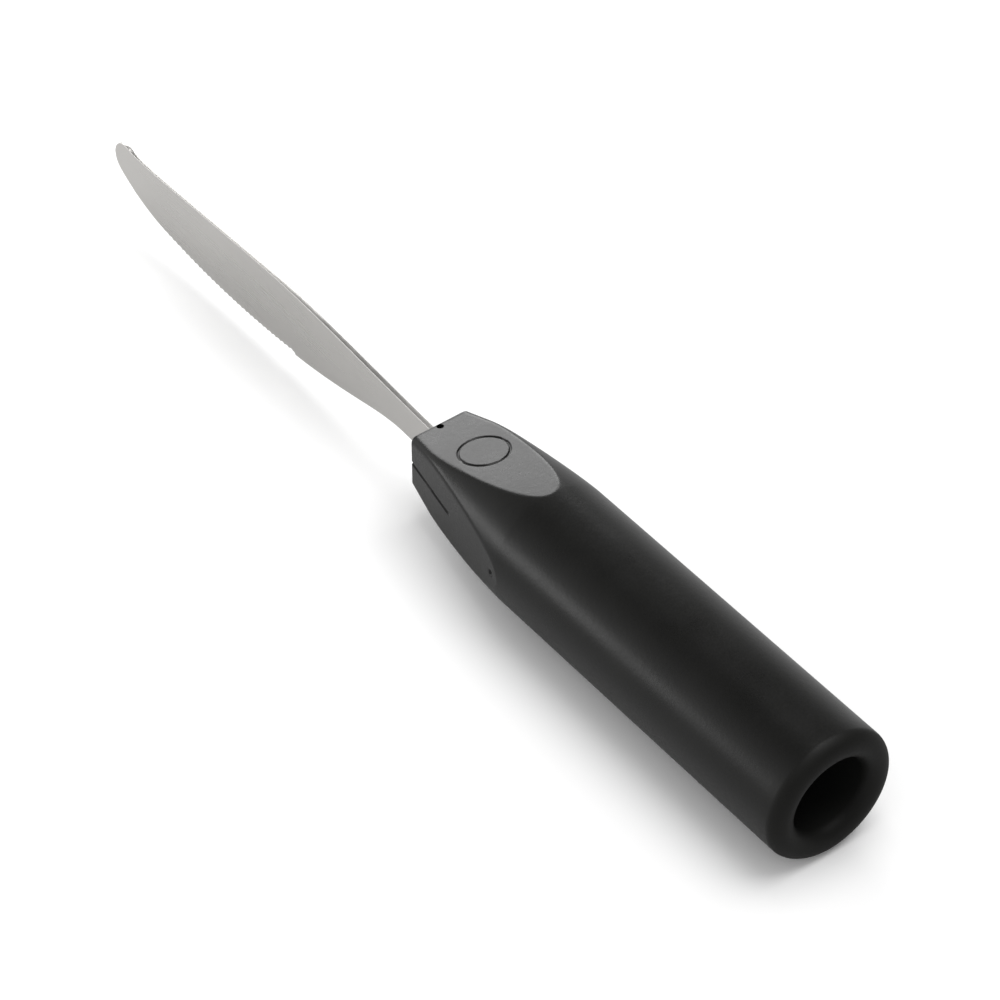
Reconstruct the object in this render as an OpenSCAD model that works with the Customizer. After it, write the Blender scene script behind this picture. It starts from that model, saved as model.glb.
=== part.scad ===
// Easy-grip table knife: a stamped steel blade moulded into a thick, open-ended plastic handle.
// The knife lies along X with its blade towards -X and its cutting edge down.
// The origin is on the table, midway between the blade's tip and the handle's open end.

/* [Handle] */
// Outside diameter of the handle at its open end
handle_d = 28; // [24:0.5:36]
// How much less the diameter is where the nose begins, so that the handle leaves its mould
draft = 0.4; // [0:0.1:1]
// Length from the nose face to the open end
handle_l = 117; // [100:0.5:140]
// Thickness of the wall around the open bore, which ends in a full round lip
wall_t = 5.75; // [3:0.25:7]
// Length of solid plastic from the nose face to the bottom of the bore
core_l = 49; // [46:0.5:80]

/* [Nose] */
// Length of the rounded nose, from its face back to the straight barrel
nose_l = 35; // [26:1:38]
// Radius to which the corners of the nose narrow at its face
nose_r = 10; // [7:0.1:10.5]
// How early the nose swells: 1 is a straight cone, 2 a full round shoulder
nose_bulge = 1.4; // [1.2:0.05:2.4]
// Height of the nose face between the top flat and the bottom flat
nose_h = 12.6; // [10.5:0.1:14]
// Width of the nose face between the two side flats
nose_w = 13.6; // [10:0.1:15]
// Length of the top flat and of the bottom flat
top_flat_l = 35; // [28:0.5:40]
// Length of each side flat
side_flat_l = 36; // [28:0.5:40]
// Length of the mould's parting groove on each side flat
parting_l = 16; // [6:1:24]
// Width of the parting groove
parting_w = 0.35; // [0.2:0.05:0.8]
// Depth of the parting groove
parting_t = 0.2; // [0.1:0.05:0.5]
// Distance of the gate mark before the back end of its side flat
gate_from_end = 2.5; // [1:0.5:12]
// Diameter of the gate mark
gate_d = 1.4; // [0.8:0.1:3]
// Depth of the gate mark
gate_t = 0.5; // [0.2:0.1:1]

/* [Plain ring on the top flat] */
// Diameter of the ring groove, measured along its middle
ring_d = 10; // [5:0.1:10.4]
// Distance of the ring's centre behind the nose face, along the flat
ring_at = 14.5; // [8:0.5:20]
// Width of the ring groove
ring_w = 0.35; // [0.2:0.05:0.8]
// Depth of the ring groove
ring_t = 0.2; // [0.1:0.05:0.5]

/* [Blade] */
// Length of the blade that shows, from the nose face to the tip
blade_l = 111; // [95:0.5:130]
// Thickness of the steel in the handle and at the nose
blade_t = 1.1; // [0.8:0.1:2]
// Thickness of the steel at the tip
tip_t = 0.8; // [0.5:0.1:2]
// Thickness left at the cutting edge
edge_t = 0.3; // [0.2:0.05:0.6]
// Depth below the handle's axis at which the grind towards the edge starts
grind_low = 5; // [4.8:0.1:7]
// Height of the spine above the handle's axis where it enters the nose
root_top = 3.2; // [2.4:0.1:4]
// Depth of the blade's underside below the handle's axis where it enters the nose
root_low = 4.4; // [3.6:0.1:4.7]
// Distance from the nose face to the narrowest part of the neck
neck_at = 12; // [8:0.5:20]
// Depth of the neck below the handle's axis at its narrowest
neck_low = 3.8; // [2.5:0.1:4.5]
// Distance from the nose face to the highest point of the spine
crest_at = 54; // [40:1:60]
// Height of the spine's highest point above the handle's axis
crest_top = 6.8; // [6:0.1:9]
// Distance from the nose face to the deepest point of the belly
belly_at = 65; // [60:1:72]
// Depth of the belly below the handle's axis, before grinding
belly_low = 10.6; // [8:0.1:12]
// Radius of the round tip
tip_r = 4.1; // [3:0.1:5]
// Height of the tip circle's centre above the handle's axis
tip_mid = 2.2; // [1:0.1:3]

/* [Cutting edge] */
// Distance from the nose face to the heel, where the serrated edge starts
heel_at = 48; // [40:1:54]
// Distance from the nose face to the end of the serrations
serration_end = 98; // [80:1:100]
// Step up at the heel, which fades out towards the end of the serrations
heel_step = 0.7; // [0.1:0.05:1]
// Pitch of the serrations
serration_pitch = 1.5; // [1:0.1:3]
// Depth of each serration
serration_t = 0.25; // [0.1:0.05:0.5]

/* [Tang] */
// Length of the tang inside the handle
tang_l = 40; // [30:1:42]
// Length of the tang's full-height root inside the nose
tang_root_l = 6; // [3:0.5:8]
// Height of the tang behind its root
tang_h = 6.6; // [6:0.1:8]
// Height of the tang at its hidden end
tang_end_h = 5.8; // [5:0.1:8]
// Diameter of the two holes that the handle's plastic fills
key_hole_d = 3; // [2:0.1:3.6]
// Distance of the holes from the tang's root and from its hidden end
key_hole_in = 7; // [4:0.5:7]
// Gap that shrinkage leaves between the steel and the plastic
mould_gap = 0.05; // [0.02:0.01:0.2]
// Length of the relief notch that opens the top of the nose face over the spine
relief_l = 1.4; // [0.5:0.1:4]
// Clearance of the relief notch on each side of the steel
relief_gap = 0.15; // [0.1:0.05:0.6]

/* [Hidden] */

// Small overlap that makes a cut run clear of a surface, and the reach of a shallow cutter above one
eps = 0.5;
reach = 1;
// Facet counts of round forms
fn_body = 128;
fn_small = 40;
// Number of steps in the curved nose and in each curve of the blade's outline
nose_steps = 16;
curve_steps = 14;

// Radii of the barrel at its two ends, of the bore, and of the round lip
rear_r = handle_d / 2;
front_r = rear_r - draft / 2;
bore_r = rear_r - wall_t;
lip_r = wall_t / 2;
// Depth of the bore, and whole length of the knife
bore_depth = handle_l - core_l;
total_l = handle_l + blade_l;
// Half sizes of the nose face, and the angles of the flats that rise from it
nose_hh = nose_h / 2;
nose_hw = nose_w / 2;
top_angle = atan((front_r - nose_hh) / top_flat_l);
side_angle = atan((front_r - nose_hw) / side_flat_l);
// Distance of the gate mark behind the nose face
gate_at = side_flat_l - gate_from_end;
// Places of the two holes in the tang, measured back from the nose face
key_holes_at = [tang_root_l + key_hole_in, tang_l - key_hole_in];

// Slopes at which the spine leaves the nose and the belly meets the tip
root_slope = 0.03;
tip_slope = 0.75;
// Angles around the tip circle at which the spine and the belly run into it
tip_top_angle = 112;
tip_low_angle = -atan(1 / tip_slope);
// Lengths of the handles that shape the outline's curves
root_pull = 14;
crest_pull = 17;
neck_pull = 12;
belly_back_pull = 30;
belly_front_pull = 10;
tip_low_pull = 14;
tip_top_pull = 3;

// Point at parameter t on the curve that starts at a, leaves towards b and arrives at d from c
function curve_point(a, b, c, d, t) =
    a * pow(1 - t, 3) + b * 3 * t * pow(1 - t, 2) + c * 3 * t * t * (1 - t) + d * t * t * t;

// Points along such a curve, without its first point
function curve(a, b, c, d) =
    [for (i = [1 : curve_steps]) curve_point(a, b, c, d, i / curve_steps)];

// The same list in reverse order
function reversed(list) = [for (i = [len(list) - 1 : -1 : 0]) list[i]];

// Point on the tip circle at an angle, as [distance in front of the nose face, height]
tip_p = [blade_l - tip_r, tip_mid];
function on_tip(angle) = tip_p + tip_r * [cos(angle), sin(angle)];

// Direction of the tip circle at an angle, pointing clockwise
function along_tip(angle) = [sin(angle), -cos(angle)];

// Named corners of the blade's outline in the same form
root_top_p = [0, root_top];
crest_p = [crest_at, crest_top];
belly_p = [belly_at, -belly_low];
neck_p = [neck_at, -neck_low];
root_low_p = [0, -root_low];

// Spine from the nose to the tip circle
spine = concat(
    [root_top_p],
    curve(root_top_p, root_top_p + root_pull * [1, root_slope], crest_p - [crest_pull, 0], crest_p),
    curve(crest_p, crest_p + [crest_pull, 0],
        on_tip(tip_top_angle) - tip_top_pull * along_tip(tip_top_angle), on_tip(tip_top_angle))
);

// Underside from the neck to the tip circle, from which the edge's height is read
underside = concat(
    [neck_p],
    curve(neck_p, neck_p + [neck_pull, 0], belly_p - [belly_back_pull, 0], belly_p),
    curve(belly_p, belly_p + [belly_front_pull, 0],
        on_tip(tip_low_angle) + tip_low_pull * along_tip(tip_low_angle), on_tip(tip_low_angle))
);

// Height of the underside at distance u, before grinding
function edge_z(u) = lookup(u, underside);

// How far the grind has raised the edge at distance u
function raised(u) = heel_step * (serration_end - u) / (serration_end - heel_at);

// Carries a profile drawn on distance from the axis against X onto the handle's axis
module turned() {
    rotate([0, 90, 0]) rotate_extrude($fn = fn_body) children();
}

// Stands a profile drawn on X against Z upright, thick on both sides of the middle plane
module upright(thick) {
    rotate([90, 0, 0]) linear_extrude(height = thick, center = true) children();
}

// Moves a piece from the frame of the open end's centre to the frame of the whole knife
module in_place() {
    translate([total_l / 2, 0, rear_r]) children();
}

// Radius of the nose at distance t behind its face, on a curve that meets the barrel smoothly
function nose_radius(t) = front_r - (front_r - nose_r) * pow(1 - t / nose_l, nose_bulge);

// Half section of the handle: a solid nose, a straight barrel, a round lip and a blind bore
module handle_profile() {
    nose = [for (i = [0 : nose_steps])
        let (t = nose_l * i / nose_steps) [nose_radius(t), t - handle_l]];
    difference() {
        union() {
            polygon(concat([[0, -handle_l]], nose, [[rear_r, -lip_r], [0, -lip_r]]));
            translate([rear_r - lip_r, -lip_r]) circle(r = lip_r, $fn = fn_small);
        }
        translate([0, -bore_depth]) square([bore_r, bore_depth - lip_r + eps]);
    }
}

// Block whose lower face is the flat that rises at an angle from the nose face at a half height
module flat_cutter(half, angle) {
    translate([-handle_l, 0, half]) rotate([0, -angle, 0])
        translate([-handle_d, -handle_d, 0]) cube([3 * handle_d, 2 * handle_d, handle_d]);
}

// Repeats a cutter on the top and the bottom
module top_and_bottom() {
    children();
    mirror([0, 0, 1]) children();
}

// Outline of the tang, made smaller or larger all round by grow
module tang_outline(grow) {
    root_x = -handle_l + tang_root_l + grow;
    end_x = -handle_l + tang_l + grow;
    mid = (root_top - root_low) / 2;
    difference() {
        union() {
            translate([-handle_l - eps, -root_low - grow])
                square([root_x + handle_l + eps, root_top + root_low + 2 * grow]);
            polygon([
                [-handle_l, mid - tang_h / 2 - grow],
                [end_x, mid - tang_end_h / 2 - grow],
                [end_x, mid + tang_end_h / 2 + grow],
                [-handle_l, mid + tang_h / 2 + grow]
            ]);
        }
        for (at = key_holes_at)
            translate([-handle_l + at, mid]) circle(d = key_hole_d - 2 * grow, $fn = fn_small);
    }
}

// Thin groove along the middle of a side flat, where the two mould halves met
module parting_groove() {
    rotate([90, 0, 0]) translate([-handle_l, 0, nose_hw]) rotate([0, -side_angle, 0])
        translate([-eps, -parting_w / 2, -parting_t]) cube([parting_l + eps, parting_w, reach]);
}

// Shallow round dimple left by the gate, on one side flat
module gate_mark() {
    translate([-handle_l + gate_at, -nose_hw - gate_at * tan(side_angle) + gate_t, 0])
        rotate([90, 0, 0]) cylinder(d = gate_d, h = gate_t + reach, $fn = fn_small);
}

// Plain ring groove on the top flat
module ring_groove() {
    translate([-handle_l, 0, nose_hh]) rotate([0, -top_angle, 0])
        translate([ring_at, 0, -ring_t]) difference() {
            cylinder(d = ring_d + ring_w, h = reach, $fn = fn_small);
            translate([0, 0, -eps]) cylinder(d = ring_d - ring_w, h = reach + 2 * eps, $fn = fn_small);
        }
}

// Notch that opens the top of the nose face over the blade's spine
module relief_notch() {
    wide = blade_t + 2 * relief_gap;
    translate([-handle_l - eps, -wide / 2, root_top - eps])
        cube([relief_l + eps, wide, rear_r]);
}

module handle() {
    color("#2b2c2b") in_place() difference() {
        turned() handle_profile();
        top_and_bottom() flat_cutter(nose_hh, top_angle);
        for (side = [-1, 1])
            rotate([side * 90, 0, 0]) flat_cutter(nose_hw, side_angle);
        upright(blade_t + 2 * mould_gap) tang_outline(mould_gap);
        for (side = [0, 180])
            rotate([side, 0, 0]) parting_groove();
        gate_mark();
        ring_groove();
        relief_notch();
    }
}

// Whole outline of the blade in front of the nose face, with the step at the heel and the serrations
module blade_outline() {
    behind = [for (p = underside) if (p[0] <= heel_at) p];
    heel = [[heel_at, edge_z(heel_at)], [heel_at, edge_z(heel_at) + heel_step]];
    ground = [for (p = underside) if (p[0] > heel_at) p + [0, p[0] < serration_end ? raised(p[0]) : 0]];
    under = concat([root_low_p], behind, heel, ground);
    inside_nose = [[-eps, -root_low], [-eps, root_top]];
    difference() {
        union() {
            polygon([for (p = concat(inside_nose, spine, [tip_p], reversed(under)))
                [-handle_l - p[0], p[1]]]);
            translate([-handle_l - tip_p[0], tip_p[1]]) circle(r = tip_r, $fn = fn_body);
        }
        serrations();
    }
}

// Row of shallow round scallops along the cutting edge
module serrations() {
    half = serration_pitch / 2;
    scallop_r = (half * half + serration_t * serration_t) / (2 * serration_t);
    for (u = [heel_at + serration_pitch : serration_pitch : serration_end])
        translate([-handle_l - u, edge_z(u) + raised(u) + serration_t - scallop_r])
            circle(r = scallop_r, $fn = fn_small);
}

// Section across the blade: full thickness at the spine, ground to a thin edge below
module blade_section() {
    half = blade_t / 2;
    edge_half = edge_t / 2;
    polygon([
        [-half, crest_top + handle_d],
        [-half, -grind_low],
        [-edge_half, -belly_low],
        [-edge_half, -belly_low - eps],
        [edge_half, -belly_low - eps],
        [edge_half, -belly_low],
        [half, -grind_low],
        [half, crest_top + handle_d]
    ]);
}

// Plan of the blade: an even thickness in the handle, tapering forward to the tip
module blade_plan() {
    half = blade_t / 2;
    tip_half = tip_t / 2;
    polygon([
        [-handle_l + tang_l + eps, -half],
        [-handle_l + tang_l + eps, half],
        [-handle_l, half],
        [-handle_l - blade_l, tip_half],
        [-handle_l - blade_l - eps, tip_half],
        [-handle_l - blade_l - eps, -tip_half],
        [-handle_l - blade_l, -tip_half],
        [-handle_l, -half]
    ]);
}

module blade() {
    color("#b4b3ae") in_place() intersection() {
        upright(2 * blade_t) union() {
            blade_outline();
            tang_outline(0);
        }
        translate([0, 0, -handle_d]) linear_extrude(height = 2 * handle_d) blade_plan();
        translate([-handle_l - blade_l - eps, 0, 0]) rotate([90, 0, 90])
            linear_extrude(height = blade_l + tang_l + 2 * eps) blade_section();
    }
}

handle();
blade();
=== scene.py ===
import math

import bmesh
import bpy
import numpy as np
from mathutils import Matrix, Vector


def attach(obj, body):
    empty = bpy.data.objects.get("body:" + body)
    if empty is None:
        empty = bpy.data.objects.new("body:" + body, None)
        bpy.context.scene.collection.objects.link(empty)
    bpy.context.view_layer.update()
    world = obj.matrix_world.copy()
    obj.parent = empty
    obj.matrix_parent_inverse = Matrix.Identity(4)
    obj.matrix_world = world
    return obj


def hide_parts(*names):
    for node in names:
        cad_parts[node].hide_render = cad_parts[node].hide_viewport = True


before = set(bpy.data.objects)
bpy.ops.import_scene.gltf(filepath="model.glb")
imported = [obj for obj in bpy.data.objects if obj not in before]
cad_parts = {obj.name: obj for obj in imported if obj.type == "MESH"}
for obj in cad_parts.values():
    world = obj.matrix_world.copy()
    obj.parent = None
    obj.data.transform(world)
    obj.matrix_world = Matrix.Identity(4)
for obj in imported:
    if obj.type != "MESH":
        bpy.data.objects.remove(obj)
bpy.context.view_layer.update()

# Lengths below are in millimetres and become metres in place(). The main ones agree with the CAD model's
# to a few hundredths.
# On the handle, t is the distance behind the nose face. On the blade, u is the distance in front of it.
# For both, y and z are measured from the handle's axis.
MM = 0.001
NOSE_X = -3.0
AXIS_Z = 14.0

# Handle: the round barrel, the open bore and the full round lip
HANDLE_L = 116.99
FRONT_R = 13.8
REAR_R = 13.985
WALL_T = 5.75
LIP_R = WALL_T / 2
BORE_R = REAR_R - WALL_T
BORE_DEPTH = 68.0
BORE_BOTTOM_R = 0.8

# Nose: a bulged cone that four flats narrow to the nose face
NOSE_L = 35.0
NOSE_R = 10.0
NOSE_BULGE = 1.4
NOSE_HH = 6.3
NOSE_HW = 6.8
TOP_FLAT_L = 35.0
SIDE_FLAT_L = 36.0
TOP_ANGLE = math.atan((FRONT_R - NOSE_HH) / TOP_FLAT_L)
SIDE_ANGLE = math.atan((FRONT_R - NOSE_HW) / SIDE_FLAT_L)

# Soft edges of the moulding: between a flat and the round, between two flats, and round the nose face
EDGE_R = 1.4
CORNER_R = 1.3
RIM_R = 0.45

# Marks of the mould: the plain ring on the top flat, a parting groove on each side flat, and the gate mark
RING_AT = 14.5
RING_R = 5.0
RING_DEPTH = 0.2
RING_EDGE = (0.06, 0.3)
LINE_DEPTH = 0.42
LINE_EDGE = (0.18, 0.48)
LINE_END = (15.0, 16.4)
GATE_AT = 33.5
GATE_DEPTH = 0.5
GATE_EDGE = (0.35, 0.8)
GATE_RIM_R = 0.95
GATE_RIM_W = 0.22
GATE_RIM_DEPTH = 0.035

# Slot for the steel in the handle, and the oval relief pit over the spine
SLOT_HW = 0.6
SLOT_HH = 3.85
SLOT_STEP = 6.05
TANG_SLOT_L = 40.05
TANG_MID = -0.6
PIT_AT = (1.0, -0.55)
PIT_R = (0.8, 0.75)
PIT_Z = (3.3, 9.0)

# Blade: its outline, with the spine above and the serrated edge below
BLADE_L = 111.0
ROOT_TOP = 3.2
ROOT_LOW = -4.4
ROOT_L = 6
SPINE_Z = 6.8
SPINE_AT = 54
BELLY_Z = -10.6
BELLY_AT = 65
TIP_R = 4.1
TIP_C = np.array([BLADE_L - TIP_R, 2.2])
TIP_SLOPE = 0.75
TIP_TOP_DEG = 112
TIP_LOW_DEG = -math.degrees(math.atan(1 / TIP_SLOPE))
HEEL_AT = 48.0
HEEL_STEP = 0.7
HEEL_RISE_L = 0.35
SERRATION_END = 98.0
SERRATION_FADE = 88
PITCH = 1.5
SERRATION_T = 0.25
HOLLOW_DEPTH = 0.055
HOLLOW_H = 0.9

# Blade: its half thickness at the spine and the edge, the height of the grind, and its soft edges
SPINE_HALF_T = 0.55
TIP_THINNER = 0.15
EDGE_HALF_T = 0.15
GRIND_GAIN = 0.4
GRIND_H = 5.6
GRIND_BLEND = 0.06
SPINE_EDGE_R = 0.12
CUT_EDGE_R = 0.07
UNDER_EDGE_R = 0.18

# Tang: its half height at the root, how much that shrinks over its length, and its length
TANG_HH = 3.3
TANG_TAPER = 0.4
TANG_L = 40


def smooth_max(a, b, k):
    """Larger of a and b with a blend of width k, and how far into the blend each point lies."""
    h = np.clip(k - np.abs(a - b), 0, None)
    return np.maximum(a, b) + h * h / (4 * k), h / k


def soft_step(x, start, end):
    s = np.clip((x - start) / (end - start), 0, 1)
    return s * s * (3 - 2 * s)


def spans(*pieces):
    """Rising or falling values from (start, end, step) pieces that follow each other."""
    out = []
    for start, end, step in pieces:
        n = max(1, round((end - start) / step))
        out += [start + (end - start) * i / n for i in range(n)]
    return np.array(out + [pieces[-1][1]])


def place(t, y, z):
    """Points of the scene, in metres, from places behind the nose face and around the axis."""
    return np.stack([(t + NOSE_X) * MM, y * MM, (z + AXIS_Z) * MM], axis=-1)


def make_object(name, points, faces):
    mesh = bpy.data.meshes.new(name)
    mesh.from_pydata([tuple(p) for p in points], [], faces)
    bm = bmesh.new()
    bm.from_mesh(mesh)
    bmesh.ops.remove_doubles(bm, verts=bm.verts, dist=1e-7)
    bmesh.ops.recalc_face_normals(bm, faces=bm.faces)
    bm.to_mesh(mesh)
    bm.free()
    mesh.validate()
    obj = bpy.data.objects.new(name, mesh)
    bpy.context.scene.collection.objects.link(obj)
    return obj


def shade(obj, limit):
    """Smooth shading, with the edges left sharp that turn by more than this many degrees."""
    for p in obj.data.polygons:
        p.use_smooth = True
    obj.data.set_sharp_from_angle(angle=math.radians(limit))


def points_of(obj):
    """The x of each point of an object's mesh, and its y and z from the handle's axis, in millimetres."""
    co = np.empty(len(obj.data.vertices) * 3)
    obj.data.vertices.foreach_get("co", co)
    co = co.reshape(-1, 3) / MM
    return co[:, 0], co[:, 1], co[:, 2] - AXIS_Z


def set_mask(obj, name, values):
    attribute = obj.data.attributes.new(name, "FLOAT", "POINT")
    attribute.data.foreach_set("value", values.astype(np.float32))


# Outer surface of the handle
def nose_radius(t):
    left = np.clip(1 - t / NOSE_L, 0, 1)
    along = np.clip((t - NOSE_L) / (HANDLE_L - LIP_R - NOSE_L), 0, 1)
    return FRONT_R - (FRONT_R - NOSE_R) * left ** NOSE_BULGE + (REAR_R - FRONT_R) * along


def blend_width(cosine, radius):
    """Blend width that gives a rounding of this radius between two faces whose normals differ by an angle."""
    least = 1e-4
    half = np.arccos(np.clip(cosine, -1, 1)) / 2
    return np.maximum(4 * radius * (1 - np.cos(half)), least)


def outer_field(t, y, z):
    """Distance outside the handle's outer surface at t behind the nose face, and the edge mask."""
    step = 0.05
    corner_reach = 1
    y, z = np.abs(y), np.abs(z)
    rho = np.hypot(y, z)
    slope = (nose_radius(t - step) - nose_radius(t + step)) / (2 * step)
    norm = np.sqrt(1 + slope ** 2)
    round_f = (rho - nose_radius(t)) / norm
    top_f = (z - NOSE_HH - t * math.tan(TOP_ANGLE)) * math.cos(TOP_ANGLE)
    side_f = (y - NOSE_HW - t * math.tan(SIDE_ANGLE)) * math.cos(SIDE_ANGLE)
    flats, corner = smooth_max(top_f, side_f, blend_width(np.zeros_like(t), CORNER_R))
    top_cos = (math.sin(TOP_ANGLE) * slope + math.cos(TOP_ANGLE) * z / rho) / norm
    side_cos = (math.sin(SIDE_ANGLE) * slope + math.cos(SIDE_ANGLE) * y / rho) / norm
    cosine = np.where(top_f > side_f, top_cos, side_cos)
    field, edge = smooth_max(flats, round_f, blend_width(cosine, EDGE_R))
    sharp = np.sqrt(np.clip(1 - cosine ** 2, 0, 1))
    return field, np.maximum(edge * sharp, corner * (flats > round_f - corner_reach))


def outer_radius(t, angle):
    """Distance from the axis to the outer surface, along each angle from the top."""
    inner, outer, halvings = 4.0, 14.2, 34
    low = np.full_like(t, inner)
    high = np.full_like(t, outer)
    for _ in range(halvings):
        mid = (low + high) / 2
        outside = outer_field(t, mid * np.sin(angle), mid * np.cos(angle))[0] > 0
        high = np.where(outside, mid, high)
        low = np.where(outside, low, mid)
    return (low + high) / 2


def carve(t, y, z):
    """Sinks the plain ring, the two parting grooves and the gate mark into the flats."""
    along = t / math.cos(TOP_ANGLE)
    off_ring = np.abs(np.hypot(along - RING_AT, y) - RING_R)
    ring = RING_DEPTH * (1 - soft_step(off_ring, *RING_EDGE)) * (z > 0)
    on_side = np.abs(y) > np.abs(z)
    line = LINE_DEPTH * (1 - soft_step(np.abs(z), *LINE_EDGE)) * (1 - soft_step(t, *LINE_END)) * on_side
    off_gate = np.hypot(t - GATE_AT, z)
    gate = GATE_DEPTH * (1 - soft_step(off_gate, *GATE_EDGE)) * (y < 0)
    gate_rim = GATE_RIM_DEPTH * np.exp(-((off_gate - GATE_RIM_R) / GATE_RIM_W) ** 2) * (y < 0)
    side = line + gate + gate_rim
    return (
        t + ring * math.sin(TOP_ANGLE) + side * math.sin(SIDE_ANGLE),
        y - np.sign(y) * side * math.cos(SIDE_ANGLE),
        z - ring * math.cos(TOP_ANGLE),
    )


# Angles round the axis from the top, closest over the plain ring and the parting grooves
ANGLES = np.radians(np.concatenate([
    spans((-34, 34, 0.75))[:-1],
    spans((34, 80, 1.6), (80, 100, 0.8), (100, 260, 1.7), (260, 280, 0.8), (280, 326, 1.6))[:-1],
]))
SIN_A, COS_A = np.sin(ANGLES), np.cos(ANGLES)


# Rings of the handle, from the slot's end over the nose face, the barrel and the lip to the bore's bottom
def round_ring(t, r):
    return place(np.full_like(ANGLES, t), -r * SIN_A, r * COS_A)


def slot_ring(t, half_h):
    """Outline of the slot for the steel, met along the same angles as the outer surface."""
    to_side = SLOT_HW / np.maximum(np.abs(SIN_A), 1e-9)
    to_top = half_h / np.maximum(np.abs(COS_A), 1e-9)
    r = np.minimum(to_side, to_top)
    return place(np.full_like(ANGLES, t), -r * SIN_A, TANG_MID + r * COS_A)


def outer_ring(t):
    r = outer_radius(np.full_like(ANGLES, t), ANGLES)
    return np.full_like(ANGLES, t), -r * SIN_A, r * COS_A


def slot_rings():
    small_end = 2.95
    return [
        slot_ring(TANG_SLOT_L, small_end),
        slot_ring(SLOT_STEP, TANG_HH),
        slot_ring(SLOT_STEP, SLOT_HH),
        slot_ring(0, SLOT_HH),
    ]


def nose_face_rings(mouth):
    """Rings over the nose face and its soft rim, from the slot's mouth outwards."""
    shares = (0.12, 0.35, 0.7, 1.0)
    rim_parts = 9
    _, rim_y, rim_z = outer_ring(RIM_R)
    rim = np.hypot(rim_y, rim_z)
    face_edge = place(np.zeros_like(ANGLES), rim_y * (1 - RIM_R / rim), rim_z * (1 - RIM_R / rim))
    rings = [mouth + (face_edge - mouth) * share for share in shares]
    for part in range(1, rim_parts):
        b = math.radians(90 * (1 - part / rim_parts))
        keep = 1 - RIM_R * (1 - math.cos(b)) / rim
        t_rim = np.full_like(ANGLES, RIM_R * (1 - math.sin(b)))
        rings.append(place(*carve(t_rim, rim_y * keep, rim_z * keep)))
    return rings


def barrel_rings():
    """Rings along the nose and the barrel, closest over the plain ring and the gate mark."""
    stations = spans((RIM_R, 8.8, 0.4), (8.8, 19.7, 0.13), (19.7, 32, 0.4), (32, 36.4, 0.16), (36.4, 42, 0.6),
                     (42, HANDLE_L - LIP_R, 2.2))
    return [place(*carve(*outer_ring(t))) for t in stations]


def lip_and_bore_rings():
    lip_parts = 32
    bottom_parts = 5
    bore_start = HANDLE_L - LIP_R - 3
    bore_end = HANDLE_L - BORE_DEPTH + BORE_BOTTOM_R
    rings = []
    for part in range(1, lip_parts + 1):
        b = math.pi * part / lip_parts
        rings.append(round_ring(HANDLE_L - LIP_R + LIP_R * math.sin(b), REAR_R - LIP_R + LIP_R * math.cos(b)))
    for t in spans((bore_start, bore_end, -3.3)):
        rings.append(round_ring(t, BORE_R))
    for part in range(1, bottom_parts + 1):
        b = math.pi / 2 * part / bottom_parts
        t = HANDLE_L - BORE_DEPTH + BORE_BOTTOM_R * (1 - math.sin(b))
        rings.append(round_ring(t, BORE_R - BORE_BOTTOM_R * (1 - math.cos(b))))
    return rings


def loft(name, rings, caps):
    """Closed mesh through rings with equally many points, each end closed by a fan to its cap point."""
    count = len(rings[0])
    points = list(np.concatenate(rings)) + list(caps)
    faces = []
    for r in range(len(rings) - 1):
        a, b = r * count, (r + 1) * count
        for i in range(count):
            j = (i + 1) % count
            faces.append((a + i, a + j, b + j, b + i))
    last = (len(rings) - 1) * count
    for i in range(count):
        j = (i + 1) % count
        faces.append((j, i, len(points) - 2))
        faces.append((last + i, last + j, len(points) - 1))
    return make_object(name, points, faces)


def cut_pit(obj):
    """Cuts the relief pit over the spine: a small oval hole just behind the nose face, open at the top."""
    turns = np.radians(np.arange(0, 360, 15))
    outline = [(PIT_AT[0] - PIT_R[0] * math.cos(b), PIT_AT[1] - PIT_R[1] * math.sin(b)) for b in turns]
    count = len(outline)
    points = [place(t, y, z) for z in PIT_Z for t, y in outline]
    faces = [tuple(range(count)), tuple(range(2 * count - 1, count - 1, -1))]
    faces += [(i, count + i, count + (i + 1) % count, (i + 1) % count) for i in range(count)]
    cutter = make_object("pit_cutter", points, faces)
    boolean = obj.modifiers.new("pit", "BOOLEAN")
    boolean.operation = "DIFFERENCE"
    boolean.solver = "EXACT"
    boolean.object = cutter
    bpy.context.view_layer.update()
    evaluated = obj.evaluated_get(bpy.context.evaluated_depsgraph_get())
    cut_mesh = bpy.data.meshes.new_from_object(evaluated)
    obj.modifiers.clear()
    obj.data = cut_mesh
    bpy.data.objects.remove(cutter)


def mark_handle(obj):
    """Masks for the material: edges polished by handling, and the lip and the inside left dull and given
    painted light, a paler colour for the light that reaches the bore's inner wall.
    """
    skin, least = 0.1, 1e-6
    polished_to, inside_from = 40, 45
    lip_from, lip_full = HANDLE_L - LIP_R - 0.4, HANDLE_L - LIP_R + 1.2
    x, y, z = points_of(obj)
    t = x - NOSE_X
    field, edge_mask = outer_field(t, y, np.where(np.abs(z) < least, least, z))
    lip_mask = soft_step(t, lip_from, lip_full)
    in_bore = (np.hypot(y, z) < BORE_R + skin) * (t > inside_from)
    set_mask(obj, "polish", edge_mask * (np.abs(field) < skin) * (t < polished_to))
    # This mask leaves the lip and the bore dull and also carries their painted light, a paler base colour.
    set_mask(obj, "matt_and_painted_light", np.maximum(lip_mask, in_bore))


def build_handle():
    rings = slot_rings()
    rings += nose_face_rings(rings[-1])
    rings += barrel_rings()
    rings += lip_and_bore_rings()
    caps = [place(TANG_SLOT_L, 0.0, TANG_MID), place(HANDLE_L - BORE_DEPTH, 0.0, 0.0)]
    handle = loft("moulded_handle", rings, caps)
    cut_pit(handle)
    shade(handle, limit=38)
    mark_handle(handle)
    return handle


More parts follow.
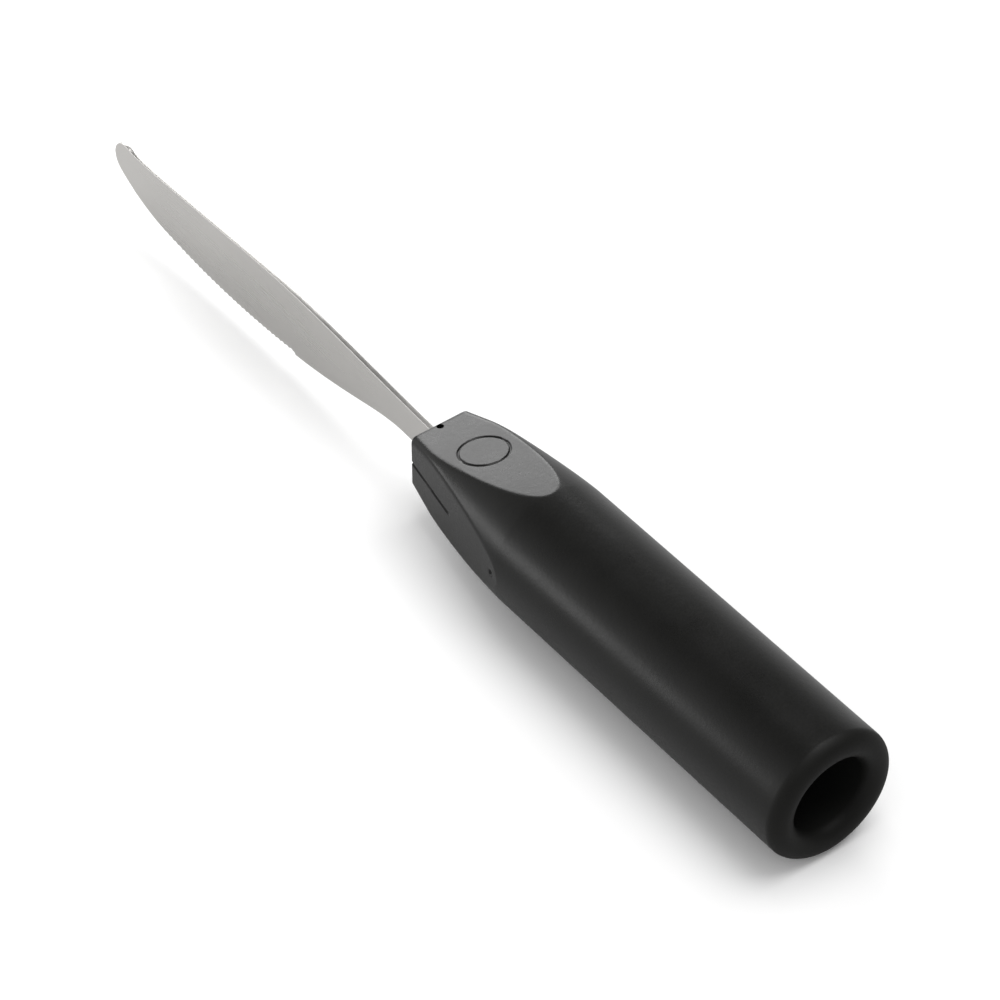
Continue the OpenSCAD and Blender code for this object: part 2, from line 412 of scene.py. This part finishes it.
# Outline of the blade
def bezier(a, b, c, d, n=160):
    t = np.linspace(0, 1, n)[:, None]
    a, b, c, d = (np.array(p, float) for p in (a, b, c, d))
    return a * (1 - t) ** 3 + b * 3 * t * (1 - t) ** 2 + c * 3 * t * t * (1 - t) + d * t ** 3


def on_tip(deg):
    return TIP_C + TIP_R * np.array([math.cos(math.radians(deg)), math.sin(math.radians(deg))])


def along_tip(deg):
    return np.array([math.sin(math.radians(deg)), -math.cos(math.radians(deg))])


SPINE = np.concatenate([
    bezier((0, ROOT_TOP), (14, 3.62), (37, SPINE_Z), (SPINE_AT, SPINE_Z)),
    bezier((SPINE_AT, SPINE_Z), (71, SPINE_Z), on_tip(TIP_TOP_DEG) - 3 * along_tip(TIP_TOP_DEG),
           on_tip(TIP_TOP_DEG)),
    [on_tip(d) for d in np.linspace(TIP_TOP_DEG, 0, 40)[1:]],
])
UNDERSIDE = np.concatenate([
    [(0, ROOT_LOW)],
    bezier((12, -3.8), (24, -3.8), (35, BELLY_Z), (BELLY_AT, BELLY_Z)),
    bezier((BELLY_AT, BELLY_Z), (75, BELLY_Z), on_tip(TIP_LOW_DEG) + 14 * along_tip(TIP_LOW_DEG),
           on_tip(TIP_LOW_DEG)),
    [on_tip(d) for d in np.linspace(TIP_LOW_DEG, 0, 40)[1:]],
])


def top_z(u):
    tang = TANG_MID + TANG_HH + TANG_TAPER * u / TANG_L
    behind = np.where(u > -ROOT_L, ROOT_TOP, tang)
    return np.where(u >= 0, np.interp(u, SPINE[:, 0], SPINE[:, 1]), behind)


def from_scallop(u):
    """Distance along the edge from the middle of the nearest serration."""
    return (u - HEEL_AT + PITCH / 2) % PITCH - PITCH / 2


def scallop(u):
    """How far a serration raises the edge, with its depth fading in at the heel and out to the tip."""
    half = PITCH / 2
    fade_l = 0.3
    radius = (half ** 2 + SERRATION_T ** 2) / (2 * SERRATION_T)
    height = SERRATION_T - radius + np.sqrt(radius ** 2 - from_scallop(u) ** 2)
    fade_in = soft_step(u, HEEL_AT + half - fade_l, HEEL_AT + half)
    return height * fade_in * (1 - soft_step(u, SERRATION_FADE, SERRATION_END))


def low_z(u):
    rise = soft_step(u, HEEL_AT, HEEL_AT + HEEL_RISE_L)
    raised = HEEL_STEP * (SERRATION_END - u) / (SERRATION_END - HEEL_AT) * rise
    ground = np.where((u > HEEL_AT) & (u < SERRATION_END), raised + scallop(u), 0)
    tang = TANG_MID - TANG_HH - TANG_TAPER * u / TANG_L
    behind = np.where(u > -ROOT_L, ROOT_LOW, tang)
    return np.where(u >= 0, np.interp(u, UNDERSIDE[:, 0], UNDERSIDE[:, 1]) + ground, behind)


# Thickness of the blade
def half_thick(u, z):
    plan = SPINE_HALF_T - TIP_THINNER * np.clip(u / BLADE_L, 0, 1)
    grind = EDGE_HALF_T + GRIND_GAIN * (z - BELLY_Z) / GRIND_H
    return -smooth_max(-plan, -grind, GRIND_BLEND)[0]


def distance_to(line, u, z):
    """Distance of each point from a line through many points, worked out a few hundred points at a time."""
    batch = 400
    a, b = line[:-1], line[1:]
    d = b - a
    flat_u, flat_z = u.ravel(), z.ravel()
    best = np.empty(len(flat_u))
    for s in range(0, len(flat_u), batch):
        p = np.stack([flat_u[s:s + batch], flat_z[s:s + batch]], 1)[:, None, :]
        share = np.clip(((p - a) * d).sum(-1) / np.maximum((d * d).sum(-1), 1e-12), 0, 1)
        near = a + share[..., None] * d
        best[s:s + batch] = np.sqrt(((p - near) ** 2).sum(-1)).min(1)
    return best.reshape(u.shape)


def rounded(half, far, radius):
    """Half thickness with an edge of this radius, at a distance from the outline."""
    radius = np.minimum(radius, half * 0.9)
    inside = np.minimum(far, radius)
    return half - radius + np.sqrt(np.clip(radius ** 2 - (radius - inside) ** 2, 0, None))


# Grid of the blade: stations from the tang's end to the tip, with rows from the edge to the spine
# The last station stands this many degrees round the tip, whose very end is at 90
LAST_DEG = 87
END_DEG = 90


def tip_stations(start_deg, end_deg, n):
    """Places of n stations along the blade, evenly round the tip's circle."""
    return BLADE_L - TIP_R + TIP_R * np.sin(np.radians(np.linspace(start_deg, end_deg, n)))


def blade_stations():
    step = 0.01
    return np.concatenate([
        spans((-TANG_L, -ROOT_L - step, 3), (-ROOT_L - step, -ROOT_L, step), (-ROOT_L, 0, 1),
              (0, HEEL_AT, 0.8), (HEEL_AT, HEEL_AT + 0.6, 0.06), (HEEL_AT + 0.6, SERRATION_END, 0.125),
              (SERRATION_END, BLADE_L - TIP_R, 0.45))[:-1],
        tip_stations(0, LAST_DEG, 30),
    ])


def blade_rows(stations):
    """Heights of the grid's points at each station, closest near the edge and the spine."""
    near_outline = np.array([0, 0.02, 0.05, 0.09, 0.14, 0.2, 0.3, 0.5, 0.85, 1.3])
    full_height = 4
    between = 10
    rows = []
    for u in stations:
        high, low = float(top_z(u)), float(low_z(u))
        ends = near_outline * min(1.0, (high - low) / full_height)
        inner = np.linspace(low + ends[-1], high - ends[-1], between)[1:-1]
        rows.append(np.concatenate([low + ends, inner, (high - ends)[::-1]]))
    return np.array(rows)


def blade_half_y(stations, rows):
    """Half thickness at each point of the grid, with soft edges and a ground hollow over each serration."""
    u = np.repeat(stations[:, None], rows.shape[1], axis=1)
    # The outline that the distances are taken from goes on past the last station to the very tip
    evenly = np.linspace(-TANG_L, 106, 1500)
    past_last = tip_stations(LAST_DEG, END_DEG, 6)
    dense_u = np.unique(np.concatenate([stations, evenly, past_last]))
    far_top = distance_to(np.stack([dense_u, top_z(dense_u)], 1), u, rows)
    far_low = distance_to(np.stack([dense_u, low_z(dense_u)], 1), u, rows)
    half = half_thick(u, rows)
    cut_start, cut_end = HEEL_AT + 0.2, BLADE_L - 6
    hollow_start, hollow_full = HEEL_AT + 0.5, HEEL_AT + 1
    cutting = (u > cut_start) & (u < cut_end)
    spine_y = rounded(half, far_top, np.full_like(half, SPINE_EDGE_R))
    edge_y = rounded(half, far_low, np.where(cutting, CUT_EDGE_R, UNDER_EDGE_R))
    hollow = (1 - (from_scallop(u) / (PITCH / 2)) ** 2) * (1 - soft_step(far_low, 0.0, HOLLOW_H))
    hollow *= soft_step(u, hollow_start, hollow_full) * (1 - soft_step(u, SERRATION_FADE, SERRATION_END))
    return np.minimum(spine_y, edge_y) - HOLLOW_DEPTH * hollow


def blade_faces(n_u, n_z):
    """Faces of the two sides, of the edge and the spine between them, and of the two ends."""
    far = n_u * n_z
    faces = []
    for i in range(n_u - 1):
        for j in range(n_z - 1):
            a = i * n_z + j
            faces.append((a, a + 1, a + n_z + 1, a + n_z))
            faces.append((far + a, far + a + n_z, far + a + n_z + 1, far + a + 1))
        low, top = i * n_z, i * n_z + n_z - 1
        faces.append((low, low + n_z, far + low + n_z, far + low))
        faces.append((top, far + top, far + top + n_z, top + n_z))
    for i in (0, n_u - 1):
        for j in range(n_z - 1):
            a = i * n_z + j
            faces.append((a, a + 1, far + a + 1, far + a))
    return faces


def mark_blade(obj):
    """Mask for the material: along the spine the steel is left as it was stamped.

    The spine's height is read at -x, 3 mm nearer the tip than the point itself. So the mask narrows where
    the spine rises towards the tip and widens where it falls.
    """
    full_to, none_past = 0.05, 0.3
    x, _, z = points_of(obj)
    below = top_z(np.clip(-x, 0, BLADE_L)) - z
    set_mask(obj, "stamped", 1 - soft_step(below, full_to, none_past))


def build_blade():
    stations = blade_stations()
    rows = blade_rows(stations)
    half_y = blade_half_y(stations, rows)
    behind = np.repeat(-stations[:, None], rows.shape[1], axis=1)
    sides = [place(behind, y, rows).reshape(-1, 3) for y in (-half_y, half_y)]
    blade = make_object("steel_blade", np.concatenate(sides), blade_faces(*rows.shape))
    shade(blade, limit=50)
    mark_blade(blade)
    return blade


# Helpers for the materials, and the span that most values of a noise lie in
NOISE_SPAN = (0.3, 0.7)


def new_material(name):
    mat = bpy.data.materials.new(name)
    mat.use_nodes = True
    tree = mat.node_tree
    return mat, tree, tree.nodes["Principled BSDF"]


def node(tree, kind, **values):
    n = tree.nodes.new(kind)
    for key, value in values.items():
        setattr(n, key, value)
    return n


def noise(tree, vector, scale, detail, roughness=0.5):
    n = node(tree, "ShaderNodeTexNoise")
    n.inputs["Scale"].default_value = scale
    n.inputs["Detail"].default_value = detail
    n.inputs["Roughness"].default_value = roughness
    tree.links.new(vector, n.inputs["Vector"])
    return n.outputs["Fac"]


def ramp(tree, value, span, result):
    """Turns values of a span into those of the result, and keeps what lies outside at its ends."""
    n = node(tree, "ShaderNodeMapRange")
    n.inputs["From Min"].default_value, n.inputs["From Max"].default_value = span
    n.inputs["To Min"].default_value, n.inputs["To Max"].default_value = result
    tree.links.new(value, n.inputs["Value"])
    return n.outputs["Result"]


def math_node(tree, operation, a, b):
    n = node(tree, "ShaderNodeMath", operation=operation)
    for socket, value in zip(n.inputs, (a, b)):
        if isinstance(value, (int, float)):
            socket.default_value = value
        else:
            tree.links.new(value, socket)
    return n.outputs[0]


def bump(tree, height, strength, distance, normal=None):
    n = node(tree, "ShaderNodeBump")
    n.inputs["Strength"].default_value = strength
    n.inputs["Distance"].default_value = distance
    tree.links.new(height, n.inputs["Height"])
    if normal is not None:
        tree.links.new(normal, n.inputs["Normal"])
    return n.outputs["Normal"]


def mix_color(tree, factor, a, b):
    n = node(tree, "ShaderNodeMix", data_type="RGBA")
    n.inputs["A"].default_value = (*a, 1)
    n.inputs["B"].default_value = (*b, 1)
    tree.links.new(factor, n.inputs["Factor"])
    return n.outputs["Result"]


def mask(tree, name):
    return node(tree, "ShaderNodeAttribute", attribute_name=name).outputs["Fac"]


def object_place(tree):
    return node(tree, "ShaderNodeTexCoord").outputs["Object"]


def stretched(tree, scale):
    m = node(tree, "ShaderNodeMapping")
    m.inputs["Scale"].default_value = scale
    tree.links.new(object_place(tree), m.inputs["Vector"])
    return m.outputs["Vector"]


def plastic_material():
    """Black moulded plastic with a fine grain, a little smoother on handled edges, and dull with a paler
    colour on the lip and inside the bore, painted light for the light that reaches the bore's inner wall.
    """
    black, off_black = (0.0055, 0.0055, 0.0050), (0.0205, 0.0205, 0.0190)
    # The second paleness is painted light: a paler base colour on the lip and in the bore.
    cloud_pale, painted_light_pale = 0.2, 0.22
    polish_smooth, matt_rough = 0.06, 0.24
    plastic, tree, shader = new_material("black_moulded_plastic")
    where = object_place(tree)
    grain = noise(tree, where, scale=2600, detail=3, roughness=0.6)
    pebble = noise(tree, where, scale=900, detail=2)
    cloud = noise(tree, where, scale=70, detail=4, roughness=0.6)
    polish, matt_and_painted_light = mask(tree, "polish"), mask(tree, "matt_and_painted_light")
    clouded = math_node(tree, "MULTIPLY", cloud, cloud_pale)
    # Painted light: the lip and the bore get a paler base colour, standing in for the light seen on the
    # bore's inner wall.
    pale = math_node(tree, "ADD", clouded, math_node(tree, "MULTIPLY", matt_and_painted_light, painted_light_pale))
    rough = ramp(tree, cloud, NOISE_SPAN, (0.28, 0.34))
    rough = math_node(tree, "SUBTRACT", rough, math_node(tree, "MULTIPLY", polish, polish_smooth))
    rough = math_node(tree, "ADD", rough, math_node(tree, "MULTIPLY", matt_and_painted_light, matt_rough))
    rough = math_node(tree, "ADD", rough, ramp(tree, grain, NOISE_SPAN, (-0.03, 0.03)))
    pebbled = bump(tree, pebble, strength=0.25, distance=0.00006)
    grained = bump(tree, grain, strength=0.35, distance=0.00003, normal=pebbled)
    tree.links.new(mix_color(tree, pale, black, off_black), shader.inputs["Base Color"])
    tree.links.new(rough, shader.inputs["Roughness"])
    tree.links.new(grained, shader.inputs["Normal"])
    tree.links.new(ramp(tree, matt_and_painted_light, (0, 1), (0.5, 0.28)), shader.inputs["Specular IOR Level"])
    shader.inputs["IOR"].default_value = 1.36
    return plastic


def steel_material():
    """Satin steel, brushed along the blade, and a little rougher where it is left as it was stamped."""
    dark, pale = (0.715, 0.700, 0.677), (0.755, 0.739, 0.714)
    stamped_rough = 0.06
    steel, tree, shader = new_material("satin_steel")
    brush = noise(tree, stretched(tree, (18, 900, 5200)), scale=1, detail=3, roughness=0.6)
    fine = noise(tree, stretched(tree, (60, 2500, 16000)), scale=1, detail=2)
    cloud = noise(tree, stretched(tree, (50, 120, 120)), scale=1, detail=3)
    rough = ramp(tree, brush, NOISE_SPAN, (0.265, 0.31))
    rough = math_node(tree, "ADD", rough, ramp(tree, cloud, NOISE_SPAN, (-0.015, 0.02)))
    rough = math_node(tree, "ADD", rough, math_node(tree, "MULTIPLY", mask(tree, "stamped"), stamped_rough))
    brushed = bump(tree, brush, strength=0.022, distance=0.00001)
    polished = bump(tree, fine, strength=0.045, distance=0.000005, normal=brushed)
    tree.links.new(mix_color(tree, cloud, dark, pale), shader.inputs["Base Color"])
    tree.links.new(rough, shader.inputs["Roughness"])
    tree.links.new(polished, shader.inputs["Normal"])
    shader.inputs["Metallic"].default_value = 1.0
    return steel


def floor_material():
    """Matt floor, white to the camera and grey to all other rays."""
    grey, white = (0.54, 0.54, 0.54), (1.0, 1.0, 1.0)
    pale, tree, shader = new_material("pale_floor")
    tree.nodes.remove(shader)
    diffuse = node(tree, "ShaderNodeBsdfDiffuse")
    rays = node(tree, "ShaderNodeLightPath")
    color = mix_color(tree, rays.outputs["Is Camera Ray"], grey, white)
    tree.links.new(color, diffuse.inputs["Color"])
    tree.links.new(diffuse.outputs[0], tree.nodes["Material Output"].inputs["Surface"])
    return pale


# Floor, light and camera, in metres
def build_floor():
    half, z = 3, -0.00005
    corners = [(-half, -half, z), (half, -half, z), (half, half, z), (-half, half, z)]
    floor = make_object("floor", corners, [(0, 1, 2, 3)])
    floor.data.materials.append(floor_material())


def toward(tree, direction):
    """How far the part of the sky that a ray meets lies in this direction."""
    where = node(tree, "ShaderNodeTexCoord")
    dot = node(tree, "ShaderNodeVectorMath", operation="DOT_PRODUCT")
    dot.inputs[1].default_value = direction
    tree.links.new(where.outputs["Generated"], dot.inputs[0])
    return dot.outputs["Value"]


def build_world():
    """The sky: white to the camera, in reflections darker upwards and towards the open end of the handle,
    and as a fill stronger from the near side.
    """
    world = bpy.data.worlds.new("studio")
    bpy.context.scene.world = world
    world.use_nodes = True
    tree = world.node_tree
    rays = node(tree, "ShaderNodeLightPath").outputs
    band = ramp(tree, toward(tree, (0.60, 0.25, 1.0)), (-0.27, 0.48), (1.0, 0.05))
    fill = ramp(tree, toward(tree, (0.0, -1.0, 0.0)), (-0.8, 0.8), (0.40, 0.86))
    mirrored = math_node(tree, "MAXIMUM", rays["Is Glossy Ray"], rays["Is Transmission Ray"])
    reflected = math_node(tree, "MULTIPLY", mirrored, band)
    plain = math_node(tree, "MAXIMUM", rays["Is Camera Ray"], reflected)
    ambient = math_node(tree, "MULTIPLY", rays["Is Diffuse Ray"], fill)
    background = tree.nodes["Background"]
    background.inputs["Color"].default_value = (1, 1, 1, 1)
    tree.links.new(math_node(tree, "MAXIMUM", plain, ambient), background.inputs["Strength"])


def soft_light(name, place_at, aim, size, power):
    data = bpy.data.lights.new(name, "AREA")
    data.shape = "RECTANGLE"
    data.size, data.size_y = size
    data.energy = power
    obj = bpy.data.objects.new(name, data)
    bpy.context.scene.collection.objects.link(obj)
    obj.location = place_at
    obj.rotation_euler = (Vector(aim) - Vector(place_at)).to_track_quat("-Z", "Y").to_euler()


def build_camera():
    azimuth, elevation, roll = math.radians(52.78), math.radians(43.10), math.radians(-0.20)
    target = Vector((0.01606, 0, 0.01433))
    distance = 0.8572
    flat = math.cos(elevation)
    back = Vector((math.sin(azimuth) * flat, -math.cos(azimuth) * flat, math.sin(elevation)))
    level = (-back).cross(Vector((0, 0, 1))).normalized()
    upright = level.cross(-back)
    right = math.cos(roll) * level + math.sin(roll) * upright
    up = -math.sin(roll) * level + math.cos(roll) * upright
    lens = bpy.data.cameras.new("camera")
    lens.lens = 162.85
    lens.sensor_width = 36.0
    lens.sensor_fit = "HORIZONTAL"
    lens.clip_start = 0.01
    camera = bpy.data.objects.new("camera", lens)
    bpy.context.scene.collection.objects.link(camera)
    turn = Matrix((right, up, back)).transposed().to_4x4()
    camera.matrix_world = Matrix.Translation(target + distance * back) @ turn
    bpy.context.scene.camera = camera


# The two pieces, each in the place of its CAD node
handle = build_handle()
blade = build_blade()
handle.data.materials.clear()
handle.data.materials.append(plastic_material())
blade.data.materials.append(steel_material())
for piece, cad_node, slot in ((handle, "handle", "handle_plastic"), (blade, "blade", "blade_steel")):
    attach(piece, "root")
    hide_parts(cad_node)

build_floor()
build_world()
soft_light("overhead", place_at=(0.16, 0.30, 1.22), aim=(0, 0, 0), size=(0.90, 0.90), power=8.6)
soft_light("left_card", place_at=(-0.28, -0.33, 0.06), aim=(0, 0, 0.01), size=(0.24, 0.12), power=0.30)
soft_light("back_left_card", place_at=(-0.41, 0.24, 0.17), aim=(0, 0, 0.01), size=(0.28, 0.18), power=0.82)
build_camera()
bpy.context.scene.view_settings.view_transform = "Standard"

bpy.context.view_layer.update()
